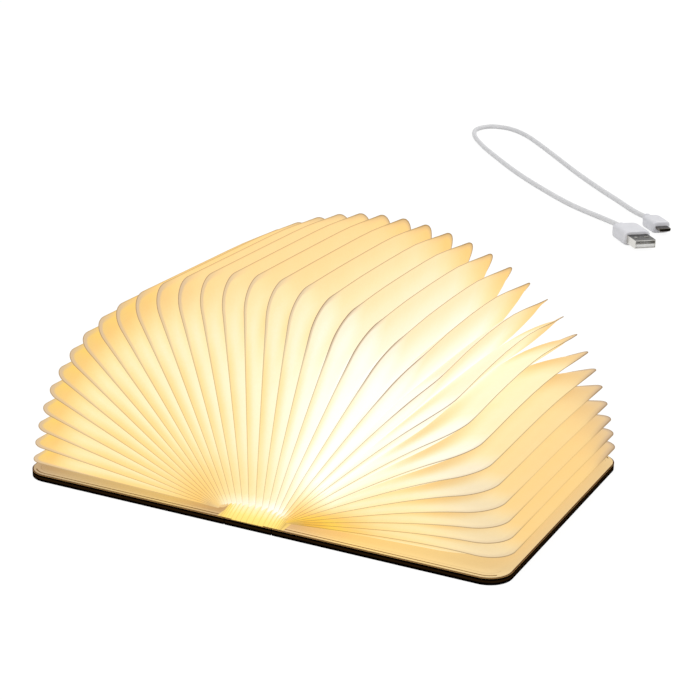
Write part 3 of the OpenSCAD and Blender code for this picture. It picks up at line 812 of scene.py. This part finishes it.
walnut = wood("charred_walnut")
cream = cream_paper("cream_cloth", 0.4, 1.0, 0.34, (240, 214, 164))
white_plastic = plain("white_plastic", (232, 232, 230), 0.45)
nickel = plain("nickel", (196, 194, 188), 0.25, 1.0, 2200, 0.05)
materials = {
    "spine_board": walnut, "left_board": walnut, "right_board": walnut,
    "left_hinge_cloth": cream, "right_hinge_cloth": cream,
    # The left liner's darker far end and weaker glow are painted shade under the first pocket.
    "left_liner": cream_paper("left_liner_paper", 0.35, 0.95, 0.34, (216, 192, 156)),
    "right_liner": cream_paper("right_liner_paper", 0.4, 1.0, 0.56, (232, 206, 156)),
    "core_tray": white_plastic, "far_cap": white_plastic,
    "led_board": plain("solder_mask", (236, 236, 228), 0.4),
    "diffuser": lamp_light("milky_diffuser", (255, 238, 196), 0.9),
    "leds": lamp_light("lit_leds", (255, 226, 150), 2.0),
    "battery": plain("pouch_foil", (176, 180, 184), 0.35, 0.9, 300, 0.4),
    "reed_switch": glass("switch_glass"),
    "usb_socket": nickel, "core_screws": nickel, "switch_magnet": nickel,
    "left_magnets": nickel, "right_magnets": nickel,
    # The shells' second colours are painted dark reflections on their upper faces.
    "usb_a_tongue": white_plastic, "usb_a_shell": metal("plated_shell", (226, 224, 218), (30, 26, 21)),
    "micro_usb_shell": metal("dark_shell", (100, 94, 86), (44, 38, 32)),
}
for name, material in materials.items():
    nodes[name].data.materials.clear()
    nodes[name].data.materials.append(material)


# The studio: sizes in metres, lamps with name, place, size and power in watts.
FLOOR_HALF = 6.0
FLOOR_GREY = 0.82
FLOOR_WHITE = 1.1
FLOOR_WHITE_SHARE = 0.82
WORLD_LIGHT = 0.55
LAMPS = (("key", (-0.7, -0.9, 1.3), 0.9, 9.0), ("fill", (1.1, -0.3, 0.9), 0.9, 5.0),
         ("back", (0.2, 1.4, 1.2), 1.2, 6.0))
LAMP_AIM = Vector((0, 0.1, 0.03))


def studio():
    """A pale floor that shows soft shadows, a white background and large soft lamps."""
    size = FLOOR_HALF
    corners = [(-size, -size, 0), (size, -size, 0), (size, size, 0), (-size, size, 0)]
    floor = build("floor", corners, [(0, 1, 2, 3)], smooth_faces=False)
    m = bpy.data.materials.new("pale_floor")
    m.use_nodes = True
    t = m.node_tree
    shader = t.nodes["Principled BSDF"]
    shader.inputs["Base Color"].default_value = (FLOOR_GREY, FLOOR_GREY, FLOOR_GREY, 1)
    shader.inputs["Roughness"].default_value = 0.9
    shader.inputs["Specular IOR Level"].default_value = 0.1
    emit = t.nodes.new("ShaderNodeEmission")
    emit.inputs["Color"].default_value = (1, 1, 1, 1)
    emit.inputs["Strength"].default_value = FLOOR_WHITE
    path = t.nodes.new("ShaderNodeLightPath")
    seen = t.nodes.new("ShaderNodeMath")
    seen.operation = "MAXIMUM"
    t.links.new(path.outputs["Is Camera Ray"], seen.inputs[0])
    t.links.new(path.outputs["Is Glossy Ray"], seen.inputs[1])
    part = t.nodes.new("ShaderNodeMath")
    part.operation = "MULTIPLY"
    part.inputs[1].default_value = FLOOR_WHITE_SHARE
    t.links.new(seen.outputs[0], part.inputs[0])
    mix = t.nodes.new("ShaderNodeMixShader")
    t.links.new(part.outputs[0], mix.inputs[0])
    t.links.new(shader.outputs[0], mix.inputs[1])
    t.links.new(emit.outputs[0], mix.inputs[2])
    t.links.new(mix.outputs[0], t.nodes["Material Output"].inputs["Surface"])
    floor.data.materials.append(m)
    world = bpy.data.worlds.new("studio")
    bpy.context.scene.world = world
    world.use_nodes = True
    w = world.node_tree
    back = w.nodes["Background"]
    back.inputs["Color"].default_value = (1, 1, 1, 1)
    path = w.nodes.new("ShaderNodeLightPath")
    strength = w.nodes.new("ShaderNodeMapRange")
    seen = w.nodes.new("ShaderNodeMath")
    seen.operation = "MAXIMUM"
    w.links.new(path.outputs["Is Camera Ray"], seen.inputs[0])
    w.links.new(path.outputs["Is Glossy Ray"], seen.inputs[1])
    w.links.new(seen.outputs[0], strength.inputs["Value"])
    strength.inputs["To Min"].default_value = WORLD_LIGHT
    strength.inputs["To Max"].default_value = 1.0
    w.links.new(strength.outputs["Result"], back.inputs["Strength"])
    for name, place, size_m, watts in LAMPS:
        data = bpy.data.lights.new(name, "AREA")
        data.size = size_m
        data.energy = watts
        lamp = bpy.data.objects.new(name, data)
        lamp.location = place
        lamp.rotation_euler = (Vector(place) - LAMP_AIM).to_track_quat("Z", "Y").to_euler()
        bpy.context.scene.collection.objects.link(lamp)


def camera():
    """The camera, turned about its target by the fitted angles."""
    yaw, pitch, roll = (math.radians(v) for v in (CAM_YAW, CAM_PITCH, CAM_ROLL))
    back = Vector((math.sin(yaw) * math.cos(pitch), -math.cos(yaw) * math.cos(pitch), math.sin(pitch)))
    right = (-back).cross(Vector((0, 0, 1))).normalized()
    up = right.cross(-back)
    across = math.cos(roll) * right + math.sin(roll) * up
    upright = -math.sin(roll) * right + math.cos(roll) * up
    data = bpy.data.cameras.new("camera")
    data.sensor_width = SENSOR_MM
    data.sensor_fit = "HORIZONTAL"
    data.lens = FOCAL_PX / PICTURE_PX * SENSOR_MM
    data.clip_end = 50
    cam = bpy.data.objects.new("camera", data)
    place = CAM_TARGET + back * CAM_DISTANCE
    cam.matrix_world = Matrix(((across.x, upright.x, back.x, place.x), (across.y, upright.y, back.y, place.y),
                               (across.z, upright.z, back.z, place.z), (0, 0, 0, 1)))
    bpy.context.scene.collection.objects.link(cam)
    bpy.context.scene.camera = cam


camera()
studio()
bpy.context.scene.view_settings.view_transform = "Standard"
